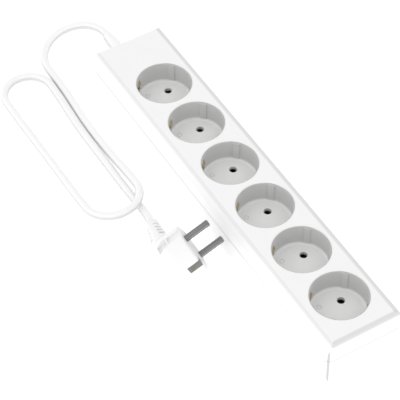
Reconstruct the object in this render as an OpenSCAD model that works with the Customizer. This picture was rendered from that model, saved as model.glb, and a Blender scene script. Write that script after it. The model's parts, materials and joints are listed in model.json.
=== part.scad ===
// Six-way power strip: a two-shell housing with earthed round-well sockets,
// three busbars, a flexible cord and an angled plug. Millimetres.
// X runs across the strip, +Y along it towards the cord, +Z up.
// The origin is the centre of the housing's underside.

/* [Housing] */
// Length of the housing
strip_len = 310; // [306:1:340]
// Width at the line where the two shells meet
strip_w = 58; // [56:1:66]
// Width of the top face
top_w = 52; // [50:1:56]
// Width of the underside
base_w = 56; // [54:1:58]
// Height of the housing
strip_h = 38; // [38:0.5:42]
// Height of the line where the two shells meet
part_z = 21; // [18:0.5:24]
// Thickness of the side walls
wall = 2.2; // [1.8:0.1:2.6]
// Thickness of the top plate
plate = 2.4; // [2:0.1:3]
// Thickness of the floor
floor_t = 1.8; // [1.4:0.1:2]
// Rounding of the top edges
edge_r = 3.2; // [2:0.1:4]
// Rounding of the four upright edges
corner_r = 4; // [2:0.5:6]

/* [Sockets] */
// Number of sockets
sockets = 6; // [6]
// Distance between neighbouring sockets
pitch = 45; // [45:0.5:46]
// Place of the first socket, nearest the cord
first_y = 101.5; // [96:0.5:104]
// Inner diameter of a well
well_d = 39; // [39:0.1:39.4]
// Depth of a well
well_depth = 17; // [16:0.5:17.5]
// Turn of the line through the pin holes
pin_turn = 45; // [45]
// Distance between the pin holes
pin_gap = 19; // [19]
// Diameter of a pin hole
pin_hole_d = 5.2; // [5:0.1:5.4]

/* [Cord and plug] */
// Diameter of the cord
cord_d = 6; // [5.8:0.1:6.4]
// Height of the cord's exit
exit_z = 14; // [13:0.5:14]
// Length of the strain relief outside the housing
relief_len = 32; // [24:1:36]
// Diameter of the plug's face
face_d = 36; // [34:0.5:37]
// Diameter of the plug's pins
plug_pin_d = 4.8; // [4.8]
// Length of the plug's pins
plug_pin_len = 19; // [19]

/* [Hidden] */
gap = 0.15;
well_r = well_d / 2;
cup_r = 21;                        // outside of a socket insert
collar_r = 20;                     // the insert's rim, in the cover's hole
flange_r = 21.8;                   // the insert's shoulder, under the cover
cup_floor = 2.5;
well_z = strip_h - well_depth;     // floor of the wells
cup_z = well_z - cup_floor;        // underside of the inserts
arm_r = 21.4;                      // radius at which the earth arms stand
arm_t = 0.6;
arm_w = 5.2;
hinge_z = cup_z + 0.1;             // where the earth arms bend
hinge_r = arm_r + arm_t / 2;
stub_gap = 0.3;
window_w = 7;
bar_x = 10;                        // busbars' distance from the middle
bar_t = 0.8;
bar_z = 7;
bar_h = 6;
earth_z = 3;                       // the earth strip's underside
screw_xy = [for (y = [-147.5, -11, 124], x = [-20.3, 20.3]) [x, y]];
clamp_y = 139;
clamp_x = 9;
saddle_x = 7;                      // half the block under the cord, running into the posts
end_y = strip_len / 2;
cord_r = cord_d / 2;
lie_z = cord_r + 0.1;              // the cord's centreline, lying down

top_hump = lie_z + cord_d + 0.4;   // where the cord crosses over itself
// The cord's plan from inside the housing to the plug: straight legs with
// rounded corners, [x, y, corner radius].
LEGS = [
    [0, 132, 0], [0, 214.9, 24.9], [-49.9, 214.9, 24.9], [-49.9, 165, 200], [-52.6, 125, 200],
    [-52.6, 32.2, 19.7], [-92.2, 32.2, 19.7], [-92.2, 100, 300], [-92.8, 150, 300],
    [-92.8, 192, 18.2], [-56.4, 192, 18.2], [-56.4, 165, 200], [-59.2, 125, 200],
    [-59.2, 62, 150], [-58.2, 27.6, 55], [-62.4, 7.4, 0]];
over_at = 290;                     // length along the plan where the cord crosses itself
rise_at = 654.5;                   // and where it starts to rise to the plug's boot
// The height of its centreline: [length along the plan, height].
HEIGHTS = [
    [0, exit_z], [54, exit_z], [142, lie_z], [over_at - 78, lie_z], [over_at - 5, top_hump],
    [over_at + 7, top_hump], [over_at + 72, lie_z], [rise_at, lie_z], [rise_at + 56, 10.9]];

// The plug lies on its side with its cord end down.
plug_yaw = -12;
plug_pitch = -12;
plug_roll = -28;
boot_end = 46;                     // from the head's axis to the boot's end
boot_len = 26;
boot_x = -4;                       // the boot's axis behind the head's middle
head_front = 14;
head_back = -13;
plug_at = [-66.2, -27.4, 16.3];
carrier_r = 12.6;
carrier_t = 6;
plug_pin_r = plug_pin_d / 2;

white = [0.95, 0.95, 0.95];
grey = [0.72, 0.73, 0.73];
brass = [0.72, 0.6, 0.38];
steel = [0.7, 0.7, 0.72];

function socket_y(i) = first_y - pitch * (i - 1);
function arc(cx, cy, r, a0, a1, n) =
    [for (k = [0:n]) let (a = a0 + (a1 - a0) * k / n) [cx + r * cos(a), cy + r * sin(a)]];

// Half the housing's width at height z: a gentle barrel.
bulge = 1.6;
function half_w(z) = z > part_z
    ? strip_w / 2 - (strip_w - top_w) / 2 * pow((z - part_z) / (strip_h - part_z), bulge)
    : strip_w / 2 - (strip_w - base_w) / 2 * pow((part_z - z) / part_z, bulge);

// The section across the housing, set in by t, from height z0 to z1.
side_steps = 6;
function right_side(t, z0, z1, r) = concat(
    [for (k = [0:side_steps]) let (z = z0 + (z1 - r - z0) * k / side_steps) [half_w(z) - t, z]],
    arc(half_w(z1 - r) - t - r, z1 - r, r, 15, 90, 5));
function mirrored(points) = [for (k = [len(points) - 1:-1:0]) [-points[k][0], points[k][1]]];

// A rounded box that follows the housing, set in by t.
module housing_block(t, z0, z1) {
    r = max(edge_r - t, 0.4);
    side = right_side(t, z0, z1, r);
    half_l = end_y - t;
    end = concat([[half_l, z0]], arc(half_l - r, z1 - r, r, 0, 90, 6));
    c = max(corner_r - t, 1);
    half_x = strip_w / 2;
    intersection() {
        rotate([90, 0, 0])
            linear_extrude(2 * strip_len, center = true)
                polygon(concat(side, mirrored(side)));
        rotate([90, 0, 90])
            linear_extrude(2 * strip_w, center = true)
                polygon(concat(end, mirrored(end)));
        translate([0, 0, z0])
            linear_extrude(z1 - z0)
                polygon(concat(
                    arc(half_x - t - c, half_l - c, c, 0, 90, 8),
                    arc(c + t - half_x, half_l - c, c, 90, 180, 8),
                    arc(c + t - half_x, c - half_l, c, 180, 270, 8),
                    arc(half_x - t - c, c - half_l, c, 270, 360, 8)));
    }
}

module slab(z0, z1) {
    translate([-strip_w, -strip_len, z0]) cube([2 * strip_w, 2 * strip_len, z1 - z0]);
}

boss_r = 3.2;
boss_z = 9;
shank_r = 1.5;
head_r = 2.8;

module upper_housing() color(white) {
    difference() {
        intersection() {
            housing_block(0, 0, strip_h);
            slab(part_z + gap, strip_h + 1);
        }
        housing_block(wall, -1, strip_h - plate);
        for (i = [1:sockets])
            translate([0, socket_y(i), strip_h - plate - 1])
                cylinder(r = collar_r + gap, h = plate + 2, $fn = 96);
    }
    for (p = screw_xy)
        translate([p[0], p[1], boss_z])
            difference() {
                cylinder(r = boss_r, h = strip_h - plate - boss_z + 0.2, $fn = 32);
                translate([0, 0, -1]) cylinder(r = shank_r, h = 16, $fn = 32);
            }
}

lip_t = 0.9;
lip_h = 2.5;
support_x = 16.5;
support_r = 2;
notch_w = 13;

module lower_housing() color(white) {
    difference() {
        union() {
            difference() {
                intersection() {
                    housing_block(0, 0, strip_h);
                    slab(-1, part_z);
                }
                housing_block(wall, floor_t, strip_h + 5);
            }
            difference() {
                intersection() {
                    housing_block(wall + gap, floor_t, strip_h + 5);
                    slab(part_z - 2, part_z + lip_h);
                }
                housing_block(wall + gap + lip_t, floor_t - 1, strip_h + 6);
            }
            difference() {
                intersection() {
                    housing_block(wall - 0.1, floor_t, strip_h + 5);
                    slab(part_z - 2, part_z - 1);
                }
                housing_block(wall + gap + lip_t, floor_t - 1, strip_h + 6);
            }
            for (p = screw_xy)
                translate([p[0], p[1], 1]) cylinder(r = 4.4, h = boss_z - 1.1, $fn = 32);
            for (i = [1:sockets], x = [-support_x, support_x])
                translate([x, socket_y(i), 1])
                    cylinder(r = support_r, h = cup_z - 1 - gap, $fn = 24);
            for (x = [-clamp_x, clamp_x])
                translate([x, clamp_y, 1]) cylinder(r = 3, h = exit_z - 2, $fn = 24);
            translate([-saddle_x, clamp_y - 4, 1]) cube([2 * saddle_x, 8, exit_z - cord_r - 1 - gap]);
        }
        for (p = screw_xy) {
            translate([p[0], p[1], -1]) cylinder(r = head_r + 0.4, h = 5, $fn = 32);
            translate([p[0], p[1], -1]) cylinder(r = shank_r + 0.3, h = 20, $fn = 32);
        }
        for (x = [-clamp_x, clamp_x])
            translate([x, clamp_y, 3]) cylinder(r = 1.2, h = 20, $fn = 24);
        translate([-notch_w / 2, end_y - 6, exit_z - notch_w / 2])
            cube([notch_w, 12, strip_h]);
    }
}

module housing_screws() color(steel)
    for (p = screw_xy)
        translate([p[0], p[1], 1.4])
            difference() {
                union() {
                    cylinder(r1 = head_r - 0.6, r2 = head_r, h = 0.6, $fn = 32);
                    translate([0, 0, 0.6]) cylinder(r = head_r, h = 1.9, $fn = 32);
                    translate([0, 0, 2]) cylinder(r = shank_r - 0.05, h = 16, $fn = 32);
                }
                for (a = [0, 90])
                    rotate(a) translate([-2, -0.35, -1]) cube([4, 0.7, 2.2]);
            }

// One socket insert: a cup with pin holes, guide ribs and two windows for the earth arms.
rib_w = 4.6;
rib_in = 0.9;
mark_r = 1.75;                     // a shallow ring in the floor
module socket_insert(i) color(grey)
    translate([0, socket_y(i), 0]) rotate(pin_turn) {
        difference() {
            rotate_extrude($fn = 96)
                polygon(concat(
                    [[0, cup_z], [cup_r, cup_z], [cup_r, strip_h - plate - 2.1],
                     [flange_r, strip_h - plate - 2.1], [flange_r, strip_h - plate - gap],
                     [collar_r, strip_h - plate - gap], [collar_r, strip_h - 0.2],
                     [collar_r - 0.2, strip_h], [well_r + 0.3, strip_h],
                     [well_r, strip_h - 0.4]],
                    arc(well_r - 2, well_z + 2, 2, 0, -90, 6),
                    [[0, well_z]]));
            for (s = [-1, 1]) {
                translate([s * pin_gap / 2, 0, cup_z - 1]) {
                    cylinder(d = pin_hole_d, h = cup_floor + 2, $fn = 32);
                    translate([0, 0, cup_floor + 0.5])
                        cylinder(d1 = pin_hole_d, d2 = pin_hole_d + 1.2, h = 1, $fn = 32);
                }
                translate([-window_w / 2, s * (well_r + 1) - 3.5, well_z + 3])
                    cube([window_w, 7, 9.2]);
            }
            rotate(-pin_turn) translate([-8.6, 9.4, well_z - 0.25])
                difference() {
                    cylinder(r = mark_r, h = 1, $fn = 32);
                    translate([0, 0, -1]) cylinder(r = mark_r - 0.45, h = 3, $fn = 32);
                }
        }
        for (s = [-1, 1])
            translate([s * (well_r - rib_in / 2 + 0.2) - rib_in / 2, -rib_w / 2, well_z + 0.5])
                cube([rib_in, rib_w, well_depth - 1.5]);
    }

// A sprung earth contact, bent from strip, that reaches in through its window.
module earth_arm(i, s) color(brass)
    translate([0, socket_y(i), 0]) rotate(pin_turn + s * 90)
        rotate([90, 0, 0])
            translate([0, 0, -arm_w / 2])
                linear_extrude(arm_w)
                    polygon([
                        [arm_r, hinge_z + stub_gap / 2], [arm_r + arm_t, hinge_z + stub_gap / 2],
                        [arm_r + arm_t, well_z + 4.6], [18.9, well_z + 8.6], [18.75, well_z + 9.6],
                        [18.9, well_z + 10.2], [20.6, well_z + 11.6], [20.2, well_z + 12],
                        [18.35, well_z + 10.5], [18.15, well_z + 9.6], [18.35, well_z + 8.3],
                        [arm_r, well_z + 4.2]]);

// A busbar on edge with one slotted sleeve under each pin hole.
sleeve_r = 3.2;
tab_x = 3.1;                       // middle of the tab that joins a sleeve to the bar
module busbar(s) color(brass) {
    translate([s * bar_x - bar_t / 2 + s * bar_t / 2, socket_y(sockets) - 16, bar_z])
        cube([bar_t, first_y - socket_y(sockets) + 40, bar_h]);
    for (i = [1:sockets])
        translate([0, socket_y(i), 0]) rotate(pin_turn)
            translate([s * pin_gap / 2, 0, bar_z - 1])
                difference() {
                    union() {
                        cylinder(r = sleeve_r, h = cup_z - bar_z + 0.8, $fn = 32);
                        rotate(-pin_turn) translate([s * tab_x - 0.7, -2, 1.5]) cube([1.4, 4, bar_h - 1]);
                    }
                    translate([0, 0, -1]) cylinder(r = pin_hole_d / 2, h = 20, $fn = 32);
                    rotate(-pin_turn) translate([-s * 3 - 2, -0.4, -1]) cube([4, 0.8, 20]);
                }
}

module live_busbar() busbar(1);
module neutral_busbar() busbar(-1);

// The earth strip on the floor, with cross straps and an upright stub for each arm.
module earth_busbar() color(brass) {
    translate([-2, socket_y(sockets) - 12, earth_z])
        cube([4, first_y - socket_y(sockets) + 36, bar_t]);
    for (i = [1:sockets])
        translate([0, socket_y(i), 0]) rotate(pin_turn + 90) {
            translate([-arm_r - arm_t, -arm_w / 2, earth_z])
                cube([2 * (arm_r + arm_t), arm_w, bar_t]);
            for (s = [-1, 1])
                translate([s * hinge_r - arm_t / 2, -arm_w / 2, earth_z])
                    cube([arm_t, arm_w, hinge_z - stub_gap / 2 - earth_z]);
        }
}

// A closed round tube swept along a line of points.
function unit(v) = v / norm(v);
module tube(line, r, sides) {
    n = len(line);
    rings = [for (k = [0:n - 1])
        let (along = unit(line[min(k + 1, n - 1)] - line[max(k - 1, 0)]),
             side = unit(cross(along, [0, 0, 1])), up = cross(side, along))
        for (j = [0:sides - 1])
            let (a = 360 * (j + 0.5) / sides)
                line[k] + r * (cos(a) * side + sin(a) * up)];
    polyhedron(rings, concat(
        [[for (j = [sides - 1:-1:0]) j]],
        [[for (j = [0:sides - 1]) (n - 1) * sides + j]],
        [for (k = [0:n - 2], j = [0:sides - 1])
            let (a = k * sides + j, b = k * sides + (j + 1) % sides)
                [a, b, b + sides, a + sides]]));
}

// A smooth curve through points: one more point within a stretch over a length, two over double.
function spline(p0, p1, p2, p3, t) = 0.5 * (2 * p1 + (p2 - p0) * t
    + (2 * p0 - 5 * p1 + 4 * p2 - p3) * t * t + (3 * p1 - p0 - 3 * p2 + p3) * t * t * t);
function curve_at(p, k, t) = spline(
    p[max(k - 1, 0)], p[k], p[k + 1], p[min(k + 2, len(p) - 1)], t);
function curve(p, far) = concat(
    [for (k = [0:len(p) - 2])
        let (steps = min(3, 1 + floor(norm(p[k + 1] - p[k]) / far)))
            for (j = [0:steps - 1]) curve_at(p, k, j / steps)],
    [p[len(p) - 1]]);

lead_r = 1.2;
lead_y = 131.4;
lead_end = first_y + 19;
lead_far = 3;
module outer_lead()
    tube(curve([[1.8, lead_y, 15], [2.2, 130, 15], [6, 128.6, 14.3], [10, 128.2, 12.8],
                [12.2, 126, 11.3], [12.2, lead_end, 10]], lead_far), lead_r, 8);
module live_lead() color([0.45, 0.27, 0.15]) outer_lead();
module neutral_lead() color([0.2, 0.35, 0.7]) mirror([1, 0, 0]) outer_lead();
module earth_lead() color([0.45, 0.6, 0.2])
    tube(curve([[0, lead_y, 12.4], [0, 130, 12], [0, 126.5, 7], [0, 124, 5.4],
                [0, lead_end, 5.2]], lead_far), lead_r, 8);

module cord_clamp() color(white)
    difference() {
        translate([-12.5, clamp_y - 4, exit_z - 0.9]) cube([25, 8, 5.6]);
        translate([0, clamp_y - 5, exit_z])
            rotate([-90, 0, 0]) cylinder(r = cord_r + 0.1, h = 10, $fn = 48);
        for (x = [-clamp_x, clamp_x])
            translate([x, clamp_y, 0]) cylinder(r = 1.7, h = 30, $fn = 24);
    }

module cord_clamp_screws() color(steel)
    for (x = [-clamp_x, clamp_x])
        translate([x, clamp_y, 0])
            difference() {
                union() {
                    translate([0, 0, 5]) cylinder(r = 1.15, h = exit_z, $fn = 24);
                    translate([0, 0, exit_z + 4.8]) cylinder(r = 2.6, h = 1.8, $fn = 32);
                }
                translate([-2, -0.35, exit_z + 5.8]) cube([4, 0.7, 2]);
            }

// The strain relief: a smooth tapered sleeve, and a flange that its notch holds.
relief_r0 = 6.2;
relief_r1 = 4;
flange_w = 15;
module cord_gland() color(white)
    translate([0, end_y, exit_z]) rotate([-90, 0, 0])
        difference() {
            union() {
                cylinder(r1 = relief_r0, r2 = relief_r1, h = relief_len, $fn = 48);
                translate([-notch_w / 2 + gap, exit_z - part_z, -wall - 0.6])
                    cube([notch_w - 2 * gap, part_z - exit_z + notch_w / 2 - gap, wall + 0.6]);
                translate([-flange_w / 2, -4.6, -wall - 3])
                    cube([flange_w, 4.6 + notch_w / 2 - gap, 2.6]);
            }
            translate([0, 0, -10]) cylinder(r = cord_r + 0.15, h = relief_len + 20, $fn = 48);
        }

// The arc that rounds the corner at v, between the legs to p and q.
function round_corner(p, v, q, step) =
    let (o = [v[0], v[1]], a = unit([p[0], p[1]] - o), b = unit([q[0], q[1]] - o),
         half = acos(a * b) / 2, c = o + unit(a + b) * v[2] / sin(half),
         start = o + a * v[2] / tan(half) - c, sweep = 180 - 2 * half,
         way = cross(a, b) < 0 ? 1 : -1, n = ceil(sweep / step))
    [for (k = [0:n]) let (t = way * sweep * k / n)
        c + [start[0] * cos(t) - start[1] * sin(t), start[0] * sin(t) + start[1] * cos(t)]];
// The same line with no two points further apart than far.
function split(p, far) = concat([p[0]],
    [for (k = [1:len(p) - 1])
        let (reach = norm(p[k] - p[k - 1]), n = reach < 0.3 ? 0 : ceil(reach / far))
            for (j = [1:1:n]) p[k - 1] + (p[k] - p[k - 1]) * j / n]);
function lengths(p) =
    [for (s = 0, k = 0; k < len(p); s = s + norm(p[min(k + 1, len(p) - 1)] - p[k]), k = k + 1) s];
function height(s) =
    let (k = max([for (i = [0:len(HEIGHTS) - 2]) if (HEIGHTS[i][0] <= s) i]),
         a = HEIGHTS[k], b = HEIGHTS[k + 1], t = min(1, (s - a[0]) / (b[0] - a[0])))
    a[1] + (b[1] - a[1]) * (1 - cos(180 * t)) / 2;
function cord_line(step, far) =
    let (last = len(LEGS) - 1,
         plan = split(concat([[LEGS[0][0], LEGS[0][1]]],
             [for (k = [1:last - 1]) each round_corner(LEGS[k - 1], LEGS[k], LEGS[k + 1], step)],
             [[LEGS[last][0], LEGS[last][1]]]), far),
         s = lengths(plan))
    [for (k = [0:len(plan) - 1]) [plan[k][0], plan[k][1], height(s[k])]];

ring_sides = 10;
corner_step = 16;
ring_far = 17;
module power_cord() color(white) tube(cord_line(corner_step, ring_far), cord_r, ring_sides);

// Everything on the plug is drawn about its head: pins along +X, cord towards +Y.
module place_plug()
    translate(plug_at) rotate([0, 0, plug_yaw]) rotate([plug_pitch, 0, 0])
        rotate([0, plug_roll, 0]) children();

groove_w = 6;
recess_w = 8;
contact_w = 5;
contact_r = face_d / 2 - 1.6;
neck_r = 8.2;
module plug_body() color(white) place_plug()
    difference() {
        union() {
            rotate([0, 90, 0]) rotate_extrude($fn = 96)
                polygon(concat(
                    [[0, head_back]],
                    arc(6, head_back + 8, 8, 270, 320, 5),
                    [[15.4, -5], [face_d / 2 - 0.3, -1], [face_d / 2, 1]],
                    arc(face_d / 2 - 1, head_front - 1, 1, 0, 90, 3),
                    [[0, head_front]]));
            hull() {
                translate([-3, 0, 0]) rotate([0, 90, 0])
                    cylinder(r = 13, h = 8, center = true, $fn = 32);
                translate([boot_x, boot_end - boot_len - 2, 0]) rotate([-90, 0, 0])
                    cylinder(r = neck_r, h = 1, $fn = 32);
            }
        }
        translate([head_front - carrier_t, 0, 0]) rotate([0, 90, 0])
            cylinder(r = carrier_r + gap, h = carrier_t + 1, $fn = 64);
        for (s = [-1, 1]) {
            translate([2, -groove_w / 2, s * (face_d / 2 - 1) - 1.5])
                cube([head_front, groove_w, 3]);
            translate([-5, -recess_w / 2, s * (face_d / 2 - 2) - 3])
                cube([recess_w, recess_w, 6]);
            translate([4, s * (face_d / 2 - 0.4) - 1.6, -contact_w / 2 - gap])
                cube([head_front, 3.2, contact_w + 2 * gap]);
            translate([head_front - 1.4, s * (face_d / 2 - 3) - 2.6, -contact_w / 2 - gap])
                cube([3, 5.2, contact_w + 2 * gap]);
        }
        translate([boot_x, boot_end - boot_len - 6, 0]) rotate([-90, 0, 0])
            cylinder(r = 4.2 + gap, h = 10, $fn = 32);
    }

boot_r0 = 7;
boot_r1 = 4.7;
slot_rows = 4;
slot_w = 6.4;
module plug_boot() color(white) place_plug()
    translate([boot_x, boot_end - boot_len, 0]) rotate([-90, 0, 0])
        difference() {
            union() {
                cylinder(r1 = boot_r0, r2 = boot_r1, h = boot_len, $fn = 48);
                translate([0, 0, -5.5]) cylinder(r = 4.2, h = 6, $fn = 32);
            }
            translate([0, 0, boot_len - 12]) cylinder(r = cord_r + 0.2, h = 20, $fn = 48);
            for (q = [0:3], k = [0:slot_rows - 1])
                rotate(45 + 90 * q) translate([4.3, -slot_w / 2, 3 + 4 * k + 2 * (q % 2)])
                    cube([5, slot_w, 1.7]);
        }

module plug_carrier() color(white) place_plug()
    translate([head_front - carrier_t + gap, 0, 0]) rotate([0, 90, 0])
        difference() {
            cylinder(r = carrier_r, h = carrier_t - gap, $fn = 64);
            for (s = [-1, 1])
                translate([s * pin_gap / 2, 0, -1]) cylinder(r = 2.05, h = 20, $fn = 32);
        }

tip_r = 1.2;
module plug_pins() color(steel) place_plug()
    for (s = [-1, 1])
        translate([head_front, 0, s * pin_gap / 2]) rotate([0, 90, 0]) {
            translate([0, 0, 1 - carrier_t]) cylinder(r = 2, h = carrier_t - 1, $fn = 32);
            rotate_extrude($fn = 48)
                polygon(concat(
                    [[0, 0], [plug_pin_r, 0]],
                    arc(plug_pin_r - tip_r, plug_pin_len - tip_r, tip_r, 0, 90, 6),
                    [[0, plug_pin_len]]));
        }

module plug_earth_contacts() color(brass) place_plug()
    for (s = [-1, 1]) {
        translate([4 + gap, s * (contact_r + 1) - 0.4, -contact_w / 2])
            cube([head_front - 4 - 2 * gap, 0.8, contact_w]);
        translate([head_front - 0.9, s * (contact_r - 1.2) - 2.2 - 0.2, -contact_w / 2])
            cube([0.8, 4.8, contact_w]);
    }

upper_housing();
lower_housing();
housing_screws();
for (i = [1:sockets]) {
    socket_insert(i);
    earth_arm(i, 1);
    earth_arm(i, -1);
}
live_busbar();
neutral_busbar();
earth_busbar();
live_lead();
neutral_lead();
earth_lead();
cord_clamp();
cord_clamp_screws();
cord_gland();
power_cord();
plug_body();
plug_boot();
plug_carrier();
plug_pins();
plug_earth_contacts();
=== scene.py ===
import json
import math

import bmesh
import bpy
from mathutils import Matrix, Vector


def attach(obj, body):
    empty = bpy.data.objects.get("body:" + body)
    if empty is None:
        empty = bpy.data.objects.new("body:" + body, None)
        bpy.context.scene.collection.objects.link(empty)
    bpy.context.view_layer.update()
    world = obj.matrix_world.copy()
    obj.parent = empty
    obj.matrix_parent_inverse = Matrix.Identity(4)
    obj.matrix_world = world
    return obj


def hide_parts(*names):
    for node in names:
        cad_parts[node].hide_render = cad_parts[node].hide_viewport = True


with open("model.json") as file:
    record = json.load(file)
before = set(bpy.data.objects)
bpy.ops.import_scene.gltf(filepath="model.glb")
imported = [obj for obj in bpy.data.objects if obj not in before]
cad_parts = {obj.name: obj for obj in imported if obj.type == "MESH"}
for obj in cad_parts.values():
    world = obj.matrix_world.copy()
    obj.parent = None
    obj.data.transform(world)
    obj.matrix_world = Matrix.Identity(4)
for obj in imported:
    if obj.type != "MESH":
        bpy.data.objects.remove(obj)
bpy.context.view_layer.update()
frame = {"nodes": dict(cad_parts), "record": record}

MM = 0.001
SCENE = bpy.context.scene

# ---------------------------------------------------------------- camera
EYE = (-0.4414, -0.6969, 0.9624)
RIGHT = Vector((0.85765, -0.51420, -0.00689)).normalized()
FORWARD = Vector((0.33223, 0.56427, -0.75579)).normalized()
RIGHT = (RIGHT - RIGHT.dot(FORWARD) * FORWARD).normalized()
UP = RIGHT.cross(FORWARD)
cam_data = bpy.data.cameras.new("camera")
cam_data.lens = 162.9
cam_data.sensor_width = 36
cam_data.clip_start, cam_data.clip_end = 0.05, 20
cam = bpy.data.objects.new("camera", cam_data)
SCENE.collection.objects.link(cam)
cam.matrix_world = Matrix((
    (RIGHT.x, UP.x, -FORWARD.x, EYE[0]),
    (RIGHT.y, UP.y, -FORWARD.y, EYE[1]),
    (RIGHT.z, UP.z, -FORWARD.z, EYE[2]),
    (0, 0, 0, 1)))
SCENE.camera = cam

# ---------------------------------------------------------------- sizes, in millimetres
CORD_R = 3
END_Y, EXIT_Z = 155, 14            # where the cord leaves the housing
LIE_Z, HUMP_Z = 3.1, 9.5           # the cord's middle on the floor, and where it crosses itself
PLUG_RISE_Z = 10.9                 # the cord's middle at the plug
PLUG_AT = Vector((-66.2, -27.4, 16.3))
PLUG_TURN = (Matrix.Rotation(math.radians(-12), 3, "Z")
             @ Matrix.Rotation(math.radians(-12), 3, "X")
             @ Matrix.Rotation(math.radians(-28), 3, "Y"))

# The cord's route, the same as in the CAD source. A leg's end is (x, y, radius of its corner).
# A height is (distance along the cord, z).
LEGS = [
    (0, 132, 0), (0, 214.9, 24.9), (-49.9, 214.9, 24.9), (-49.9, 165, 200), (-52.6, 125, 200),
    (-52.6, 32.2, 19.7), (-92.2, 32.2, 19.7), (-92.2, 100, 300), (-92.8, 150, 300),
    (-92.8, 192, 18.2), (-56.4, 192, 18.2), (-56.4, 165, 200), (-59.2, 125, 200),
    (-59.2, 62, 150), (-58.2, 27.6, 55), (-62.4, 7.4, 0)]
OVER_AT, RISE_AT = 290, 654.5
HEIGHTS = [
    (0, EXIT_Z), (54, EXIT_Z), (142, LIE_Z), (OVER_AT - 78, LIE_Z), (OVER_AT - 5, HUMP_Z),
    (OVER_AT + 7, HUMP_Z), (OVER_AT + 72, LIE_Z), (RISE_AT, LIE_Z),
    (RISE_AT + 56, PLUG_RISE_Z)]
CORNER_STEP, LONGEST, SHORTEST = math.radians(5), 4, 0.3


def round_corner(p, v, q, step):
    """The arc that rounds the corner at v, between the legs to p and q."""
    o, a, b = Vector(v[:2]), Vector(p[:2]) - Vector(v[:2]), Vector(q[:2]) - Vector(v[:2])
    a.normalize()
    b.normalize()
    half = a.angle(b) / 2
    c = o + (a + b).normalized() * v[2] / math.sin(half)
    start = o + a * v[2] / math.tan(half) - c
    sweep = math.pi - 2 * half
    way = 1 if a.cross(b) < 0 else -1
    n = math.ceil(sweep / step)
    return [c + Matrix.Rotation(way * sweep * k / n, 2) @ start for k in range(n + 1)]


def height(s):
    """The cord's height at a distance along it, eased between the listed heights."""
    k = max(i for i in range(len(HEIGHTS) - 1) if HEIGHTS[i][0] <= s)
    (s0, z0), (s1, z1) = HEIGHTS[k], HEIGHTS[k + 1]
    return z0 + (z1 - z0) * (1 - math.cos(math.pi * min(1, (s - s0) / (s1 - s0)))) / 2


def cord_line(step, far):
    """The middle line of the cord, with no two points further apart than far."""
    corners = [Vector(LEGS[0][:2])]
    for k in range(1, len(LEGS) - 1):
        corners += round_corner(LEGS[k - 1], LEGS[k], LEGS[k + 1], step)
    corners.append(Vector(LEGS[-1][:2]))
    points, s = [Vector((*corners[0], height(0)))], 0
    for a, b in zip(corners, corners[1:]):
        reach = (b - a).length
        n = math.ceil(reach / far) if reach > SHORTEST else 0
        points += [Vector((*(a + (b - a) * j / n), height(s + reach * j / n)))
                   for j in range(1, n + 1)]
        s += reach
    return points


def link(name, data):
    """A new object of the scene that shows the data."""
    o = bpy.data.objects.new(name, data)
    SCENE.collection.objects.link(o)
    return o


# ---------------------------------------------------------------- the cord
line = [q * MM for q in cord_line(CORNER_STEP, LONGEST)]
curve = bpy.data.curves.new("power_cord_sheath", "CURVE")
curve.dimensions = "3D"
curve.bevel_depth = CORD_R * MM
curve.bevel_resolution = 6
curve.use_fill_caps = True
spline = curve.splines.new("POLY")
spline.points.add(len(line) - 1)
for point, q in zip(spline.points, line):
    point.co = (*q, 1)
spline.use_smooth = True
bare = link("temp", curve)
settled = bare.evaluated_get(bpy.context.evaluated_depsgraph_get())
sheath = bpy.data.meshes.new_from_object(settled)
bpy.data.objects.remove(bare)
cord = link("power_cord_sheath", sheath)
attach(cord, "housing")
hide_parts("power_cord")


# ---------------------------------------------------------------- materials
GLOSS_SPREAD, LEAST_ROUGH = 0.06, 0.02
GRAIN_DEPTH = 0.0002


def tinted(tree, place, colour, factor, masks):
    """The colour scaled by the factor where all the masks are 1; this paints shade, or a dark
    seam line, into the colour.

    A mask is (output, direction, from, to): it rises from 0 to 1 as the dot product of the
    object-space Normal or Object place with the direction goes from one to the other."""
    tint = tree.nodes.new("ShaderNodeMix")
    tint.data_type, tint.blend_type = "RGBA", "MULTIPLY"
    tint.inputs["B"].default_value = (factor, factor, factor, 1)
    tree.links.new(colour, tint.inputs["A"])
    both = None
    for output, direction, low, high in masks:
        along = tree.nodes.new("ShaderNodeVectorMath")
        along.operation = "DOT_PRODUCT"
        along.inputs[1].default_value = direction
        tree.links.new(place.outputs[output], along.inputs[0])
        mask = tree.nodes.new("ShaderNodeMapRange")
        mask.interpolation_type = "SMOOTHSTEP"
        mask.inputs["From Min"].default_value = low
        mask.inputs["From Max"].default_value = high
        tree.links.new(along.outputs["Value"], mask.inputs["Value"])
        amount = mask.outputs["Result"]
        if both is not None:
            product = tree.nodes.new("ShaderNodeMath")
            product.operation = "MULTIPLY"
            tree.links.new(both, product.inputs[0])
            tree.links.new(amount, product.inputs[1])
            amount = product.outputs["Value"]
        both = amount
    tree.links.new(both, tint.inputs["Factor"])
    return tint.outputs["Result"]


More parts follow.
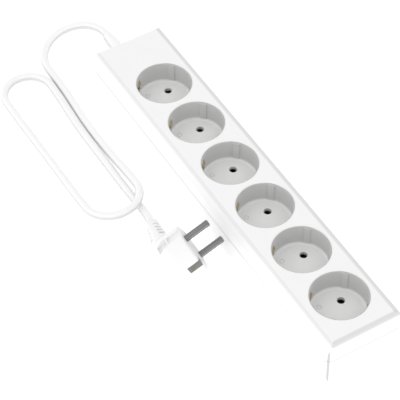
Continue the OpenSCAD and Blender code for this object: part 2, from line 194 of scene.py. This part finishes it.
def material(name, base, rough, metal=0.0, vary=0.02, vary_scale=60, grain=1800, bump=0.02,
             tints=()):
    """A moulded or metal surface: mottled colour, uneven gloss and a fine grain in the bump.

    tints lists (factor, masks), as tinted takes them; they paint shade, and one dark seam line,
    into the colour."""
    m = bpy.data.materials.new(name)
    m.use_nodes = True
    tree = m.node_tree
    shader = tree.nodes["Principled BSDF"]
    shader.inputs["Metallic"].default_value = metal
    place = tree.nodes.new("ShaderNodeTexCoord")
    mottle = tree.nodes.new("ShaderNodeTexNoise")
    mottle.inputs["Scale"].default_value = vary_scale
    mottle.inputs["Detail"].default_value = 4
    tree.links.new(place.outputs["Object"], mottle.inputs["Vector"])
    ramp = tree.nodes.new("ShaderNodeValToRGB")
    ramp.color_ramp.elements[0].position = 0.3
    ramp.color_ramp.elements[1].position = 0.7
    ramp.color_ramp.elements[0].color = (*[max(0, c * (1 - vary)) for c in base], 1)
    ramp.color_ramp.elements[1].color = (*[min(1, c * (1 + vary)) for c in base], 1)
    tree.links.new(mottle.outputs["Fac"], ramp.inputs["Fac"])
    colour = ramp.outputs["Color"]
    for factor, masks in tints:
        colour = tinted(tree, place, colour, factor, masks)
    tree.links.new(colour, shader.inputs["Base Color"])
    fine = tree.nodes.new("ShaderNodeTexNoise")
    fine.inputs["Scale"].default_value = grain
    fine.inputs["Detail"].default_value = 2
    tree.links.new(place.outputs["Object"], fine.inputs["Vector"])
    gloss = tree.nodes.new("ShaderNodeMapRange")
    gloss.inputs["To Min"].default_value = max(LEAST_ROUGH, rough - GLOSS_SPREAD)
    gloss.inputs["To Max"].default_value = min(1, rough + GLOSS_SPREAD)
    tree.links.new(mottle.outputs["Fac"], gloss.inputs["Value"])
    tree.links.new(gloss.outputs["Result"], shader.inputs["Roughness"])
    relief = tree.nodes.new("ShaderNodeBump")
    relief.inputs["Strength"].default_value = bump
    relief.inputs["Distance"].default_value = GRAIN_DEPTH
    tree.links.new(fine.outputs["Fac"], relief.inputs["Height"])
    tree.links.new(relief.outputs["Normal"], shader.inputs["Normal"])
    return m


LEFT, UPWARD, DOWNWARD = (-1, 0, 0), (0, 0, 1), (0, 0, -1)
SHELL_PAINTED_SHADE_AND_SEAM = [
    # painted shade on the near top edge
    (0.79, [("Normal", (0, -0.71, 0.71), 0.74, 0.84)]),
    # painted shade along the right top edge, between the top and the side but not round the near
    # corner
    (0.8, [("Object", (1, 0, 0), 0.0226, 0.0229), ("Normal", UPWARD, 0.3, 0.4),
           ("Normal", (0, 1, 0), -0.45, -0.25)]),
    # painted shade on the left top edge
    (0.86, [("Normal", (-0.71, 0, 0.71), 0.78, 0.97)]),
    # painted shade on the near upright corner
    (0.55, [("Normal", (-0.69, -0.69, 0.2), 0.93, 0.985)]),
    # the line between the shells, and a soft band of painted shade around it on the left side
    (0.7, [("Object", UPWARD, 0.0206, 0.0208), ("Object", DOWNWARD, -0.0214, -0.0212)]),
    (0.88, [("Object", UPWARD, 0.0192, 0.0208), ("Object", DOWNWARD, -0.0222, -0.0208),
            ("Normal", LEFT, 0.7, 0.9)]),
]
INSERT_PAINTED_SHADE = [
    # painted shade on the walls of the wells, and in the ring sunk in their floor
    (0.64, [("Object", UPWARD, 0.0212, 0.0234)]),
    (0.75, [("Object", DOWNWARD, -0.0209, -0.0208)]),
]
# painted shade on the cord: darker where its surface turns from up to the sides and underside
CORD_PAINTED_SHADE = [(0.74, [("Normal", DOWNWARD, -0.76, -0.3)])]

METAL = dict(metal=1, vary=0.1, vary_scale=300, grain=900, bump=0.1)
MATERIALS = {
    "white_plastic": material("shell_white", (0.92, 0.92, 0.92), 0.4, vary=0.006, bump=0.1,
                              tints=SHELL_PAINTED_SHADE_AND_SEAM),
    "white_matte_plastic": material("inner_white", (0.82, 0.82, 0.81), 0.6, bump=0.1),
    "grey_plastic": material("insert_grey", (0.92, 0.92, 0.915), 0.55, vary=0.01, bump=0.1,
                             tints=INSERT_PAINTED_SHADE),
    "brass": material("pressed_brass", (0.4, 0.32, 0.2), 0.4,
                      **{**METAL, "vary": 0.12, "vary_scale": 220}),
    "contact_metal": material("plated_strip", (0.2, 0.2, 0.18), 0.35, **METAL),
    "screw_steel": material("zinc_plate", (0.6, 0.6, 0.62), 0.32, **METAL),
    "pin_metal": material("nickel_plate", (0.24, 0.24, 0.24), 0.2,
                          metal=1, vary=0.06, vary_scale=200, grain=1200, bump=0.05),
    "white_cord": material("cord_sheath", (0.94, 0.94, 0.94), 0.5, vary=0.006, bump=0.1,
                           tints=CORD_PAINTED_SHADE),
    "white_soft_plastic": material("plug_white", (0.9, 0.9, 0.9), 0.42, vary=0.006, bump=0.1),
    "brown_insulation": material("core_brown", (0.2, 0.09, 0.05), 0.5),
    "blue_insulation": material("core_blue", (0.05, 0.13, 0.45), 0.5),
    "green_yellow_insulation": material("core_green", (0.3, 0.5, 0.06), 0.5),
}
cord.data.materials.append(MATERIALS["white_cord"])

# Every carried-over CAD node takes its record slot's material.
for part in frame["record"]["subparts"]:
    o = frame["nodes"][part["node"]]
    o.data.materials.clear()
    o.data.materials.append(MATERIALS[part["material_slot"]])

# ---------------------------------------------------------------- mesh helpers, in millimetres
SHARP = math.radians(35)
ON_AXIS = 1e-6


def mesh_piece(name, bm, slot, at):
    """Makes a piece from a bmesh in millimetres, smooth but for its sharp edges."""
    bmesh.ops.recalc_face_normals(bm, faces=bm.faces)
    for face in bm.faces:
        face.smooth = True
    for edge in bm.edges:
        edge.smooth = len(edge.link_faces) == 2 and edge.calc_face_angle(0) < SHARP
    mesh = bpy.data.meshes.new(name)
    bm.to_mesh(mesh)
    bm.free()
    mesh.transform(at)
    mesh.transform(Matrix.Scale(MM, 4))
    mesh.materials.append(MATERIALS[slot])
    o = link(name, mesh)
    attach(o, "housing")
    return o


def lathe(profile, sides, turn=None):
    """A closed solid turned about local Z, from (radius, height) points that end on the axis."""
    bm = bmesh.new()
    rings = []
    for r, z in profile:
        if r < ON_AXIS:
            rings.append([bm.verts.new((0, 0, z))])
        else:
            rings.append([bm.verts.new((r * math.cos(2 * math.pi * k / sides),
                                        r * math.sin(2 * math.pi * k / sides), z))
                          for k in range(sides)])
    for low, high in zip(rings, rings[1:]):
        for k in range(sides):
            n = (k + 1) % sides
            corners = [low[k % len(low)], low[n % len(low)],
                       high[n % len(high)], high[k % len(high)]]
            corners = list(dict.fromkeys(corners))
            if len(corners) > 2:
                bm.faces.new(corners)
    bmesh.ops.recalc_face_normals(bm, faces=bm.faces)
    if turn is not None:
        bmesh.ops.transform(bm, matrix=turn, verts=bm.verts)
    return bm


def block(low, high, bevel, turn=None):
    """A box between two corners, with its edges rounded where bevel isn't 0."""
    bm = bmesh.new()
    bmesh.ops.create_cube(bm, size=1)
    size = [b - a for a, b in zip(low, high)]
    bmesh.ops.scale(bm, vec=size, verts=bm.verts)
    bmesh.ops.translate(bm, vec=[(a + b) / 2 for a, b in zip(low, high)], verts=bm.verts)
    if bevel:
        bmesh.ops.bevel(bm, geom=bm.edges[:], offset=bevel, segments=2, profile=0.5,
                        affect="EDGES")
    if turn is not None:
        bmesh.ops.transform(bm, matrix=turn, verts=bm.verts)
    return bm


def temp(bm):
    """An object that holds the bmesh for a while."""
    mesh = bpy.data.meshes.new("temp")
    bm.to_mesh(mesh)
    bm.free()
    return link("temp", mesh)


def joined(bms):
    """One object that holds several solids, for use as a cutter."""
    whole = bmesh.new()
    for bm in bms:
        mesh = bpy.data.meshes.new("temp")
        bm.to_mesh(mesh)
        bm.free()
        whole.from_mesh(mesh)
        bpy.data.meshes.remove(mesh)
    return temp(whole)


def apply_modifiers(o):
    """The object's mesh with its modifiers, as a bmesh; the object is deleted."""
    dg = bpy.context.evaluated_depsgraph_get()
    bm = bmesh.new()
    bm.from_mesh(o.evaluated_get(dg).to_mesh())
    bpy.data.objects.remove(o)
    return bm


def combine(a, b, operation):
    """Boolean of a bmesh with a bmesh or an object, as a bmesh."""
    left = temp(a)
    right = b if isinstance(b, bpy.types.Object) else temp(b)
    m = left.modifiers.new("b", "BOOLEAN")
    m.object, m.operation, m.solver = right, operation, "EXACT"
    out = apply_modifiers(left)
    bpy.data.objects.remove(right)
    return out


def arc(cx, cy, r, a0, a1, n):
    """n + 1 points on a circle, from the angle a0 to a1 in degrees."""
    return [(cx + r * math.cos(math.radians(a0 + (a1 - a0) * k / n)),
             cy + r * math.sin(math.radians(a0 + (a1 - a0) * k / n))) for k in range(n + 1)]


# ---------------------------------------------------------------- the plug
PLUG = Matrix.Translation(PLUG_AT) @ PLUG_TURN.to_4x4()
ALONG_X = Matrix.Rotation(math.radians(90), 4, "Y")
ALONG_Y = Matrix.Rotation(math.radians(-90), 4, "X")
FACE_R, HEAD_FRONT, HEAD_BACK = 18, 14, -13
RIM_R, RIM_ROUND = FACE_R - 0.1, 1
POCKET_R, POCKET_DEPTH = 12.75, 6          # for the pin carrier
BOOT_X, BOOT_Y0 = -4, 20
ELBOW_STEPS, ELBOW_SIDES, ELBOW_REACH = 14, 48, 22
ROUND_SIDES = 96
VOXEL = 0.5

head = lathe([(0, HEAD_BACK + 0.6)] + arc(6, HEAD_BACK + 8, 7.6, -90, -40, 8)
             + [(15.4, -5), (17.5, -1), (FACE_R - 0.15, 1), (RIM_R, 6),
                (RIM_R, HEAD_FRONT - RIM_ROUND)]
             + arc(FACE_R - 1.1, HEAD_FRONT - RIM_ROUND, RIM_ROUND, 0, 90, 4)
             + [(12.8, HEAD_FRONT), (0, HEAD_FRONT)],
             ROUND_SIDES, ALONG_X)
# The elbow: rings that swell from the boot into the back of the head.
elbow = bmesh.new()
rings = []
for k in range(ELBOW_STEPS + 1):
    t = k / ELBOW_STEPS
    ease = t * t * (3 - 2 * t)
    y = BOOT_Y0 - 0.4 - ELBOW_REACH * t
    across, deep = 8 + 5 * ease, 7.8 + 3.4 * ease
    middle = BOOT_X + 0.6 * ease
    angles = [2 * math.pi * j / ELBOW_SIDES for j in range(ELBOW_SIDES)]
    rings.append([elbow.verts.new((middle + deep * math.cos(a), y, across * math.sin(a)))
                  for a in angles])
for low, high in zip(rings, rings[1:]):
    for j in range(ELBOW_SIDES):
        n = (j + 1) % ELBOW_SIDES
        elbow.faces.new((low[j], low[n], high[n], high[j]))
elbow.faces.new(rings[0])
elbow.faces.new(rings[-1][::-1])
bmesh.ops.recalc_face_normals(elbow, faces=elbow.faces)
soft = temp(combine(head, elbow, "UNION"))
remesh = soft.modifiers.new("r", "REMESH")
remesh.mode, remesh.voxel_size = "VOXEL", VOXEL
relax = soft.modifiers.new("s", "SMOOTH")
relax.factor, relax.iterations = 0.5, 12
body = apply_modifiers(soft)

# What is cut from the head: the carrier's pocket, and on each side the slot of the earth contact,
# the finger recess behind it, and a groove across the edge of the face and in the face.
EARTH_AT, EARTH_HALF_W, EARTH_HALF_T = 16.9, 3.1, 1.4
RECESS_AT, RECESS_HALF_W = 16, 4
GROOVE_HALF_W = 2.65
PAST = 3                                   # how far a cut runs past the face
cuts = [lathe([(0, HEAD_FRONT - POCKET_DEPTH), (POCKET_R, HEAD_FRONT - POCKET_DEPTH),
               (POCKET_R, HEAD_FRONT + 2), (0, HEAD_FRONT + 2)], ROUND_SIDES, ALONG_X)]
for s in (-1, 1):
    cuts += [
        block((3.5, -EARTH_HALF_W, s * EARTH_AT - EARTH_HALF_T),
              (HEAD_FRONT + PAST, EARTH_HALF_W, s * EARTH_AT + EARTH_HALF_T), 0.35),
        block((-5.2, -RECESS_HALF_W, s * RECESS_AT - 3.2),
              (2.8, RECESS_HALF_W, s * RECESS_AT + 4), 0.4),
        block((4, s * 17.6 - 1.6, -GROOVE_HALF_W),
              (HEAD_FRONT + PAST, s * 17.6 + 1.6, GROOVE_HALF_W), 0),
        block((HEAD_FRONT - 1.4, s * 15 - 2.6, -GROOVE_HALF_W),
              (HEAD_FRONT + 2, s * 15 + 2.6, GROOVE_HALF_W), 0)]
for cut in cuts:
    body = combine(body, cut, "DIFFERENCE")
plug_body = mesh_piece("plug_head", body, "white_soft_plastic", PLUG)
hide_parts("plug_body")

# The boot: a tapered sleeve with four columns of short windows, staggered.
WINDOW_COLUMNS, WINDOW_ROWS, ROW_PITCH = 4, 4, 4
TAPER_STEPS = 10
taper = [(7.2 - 2.3 * k / TAPER_STEPS, 1.5 + 22.5 * k / TAPER_STEPS)
         for k in range(TAPER_STEPS + 1)]
boot = lathe([(0, -0.6), (7.1, -0.6), (7.3, 0), (7.25, 1)] + taper
             + arc(4.1, 25, 0.8, 0, 90, 4) + [(3.5, 25.8), (3.45, 22), (0, 22)], 64)
windows = []
for column in range(WINDOW_COLUMNS):
    turn = Matrix.Rotation(math.radians(45 + 90 * column), 4, "Z")
    for row in range(WINDOW_ROWS):
        z = 3.2 + ROW_PITCH * row + ROW_PITCH // 2 * (column % 2)
        windows.append(block((4.1, -2.1, z), (9, 2.1, z + 1.9), 0.25, turn))
boot = combine(boot, joined(windows), "DIFFERENCE")
boot_at = PLUG @ Matrix.Translation((BOOT_X, BOOT_Y0, 0)) @ ALONG_Y
plug_boot = mesh_piece("plug_boot_sleeve", boot, "white_soft_plastic", boot_at)
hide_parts("plug_boot")

# ---------------------------------------------------------------- stage
WHITE = (1, 1, 1, 1)
FLOOR_HALF, FLOOR_DROP, FLOOR_GLOW = 4, 0.0002, 0.4
SKY = 0.95

floor_mesh = bpy.data.meshes.new("floor")
floor_mesh.from_pydata([(x * FLOOR_HALF, y * FLOOR_HALF, 0)
                        for x, y in ((-1, -1), (1, -1), (1, 1), (-1, 1))], [], [(0, 1, 2, 3)])
floor = link("floor", floor_mesh)
floor.location.z = -FLOOR_DROP
paper = material("paper_white", (0.93, 0.93, 0.93), 0.9, vary=0.004)
paper_shader = paper.node_tree.nodes["Principled BSDF"]
paper_shader.inputs["Emission Color"].default_value = WHITE
paper_shader.inputs["Emission Strength"].default_value = FLOOR_GLOW
floor.data.materials.append(paper)

world = bpy.data.worlds.new("studio")
SCENE.world = world
world.use_nodes = True
background = world.node_tree.nodes["Background"]
background.inputs["Color"].default_value = WHITE
background.inputs["Strength"].default_value = SKY


def softbox(name, place, power, size):
    """A square lamp that faces the origin."""
    data = bpy.data.lights.new(name, "AREA")
    data.energy, data.size = power, size
    o = link(name, data)
    o.location = place
    o.rotation_mode = "QUATERNION"
    o.rotation_quaternion = (-Vector(place)).to_track_quat("-Z", "Y")


softbox("key", (-1.5, -0.2, 0.8), 3.5, 1.4)
SCENE.view_settings.view_transform = "Standard"

bpy.context.view_layer.update()
